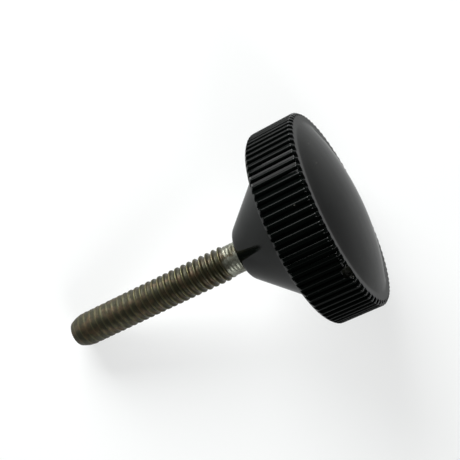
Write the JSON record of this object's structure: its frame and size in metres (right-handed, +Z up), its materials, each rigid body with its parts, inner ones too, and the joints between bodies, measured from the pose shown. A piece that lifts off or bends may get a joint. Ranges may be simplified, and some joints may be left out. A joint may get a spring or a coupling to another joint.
{
  "type": "thumb screw",
  "caption": "Thumb screw: a black plastic knob with a fluted rim, low domed face and cone hub, moulded on a threaded steel stud with a chamfered tip.",
  "frame": {"origin": "centre of the screw's footprint, on the surface that it lies on", "axes": "+Z up from that surface; the screw's axis lies in the XZ plane, from the stud's tip on the -X side up to the knob's face on the +X side"},
  "size_m": [0.059, 0.035, 0.0357],
  "materials": {
    "knob_plastic": "moulded black phenolic, glossy, with fine wear",
    "stud_steel": "plain rolled-thread steel, dulled warm grey, crests worn brighter"
  },
  "bodies": {
    "root": {"knob": "knob_plastic", "threaded_stud": "stud_steel"}
  },
  "joints": []
}
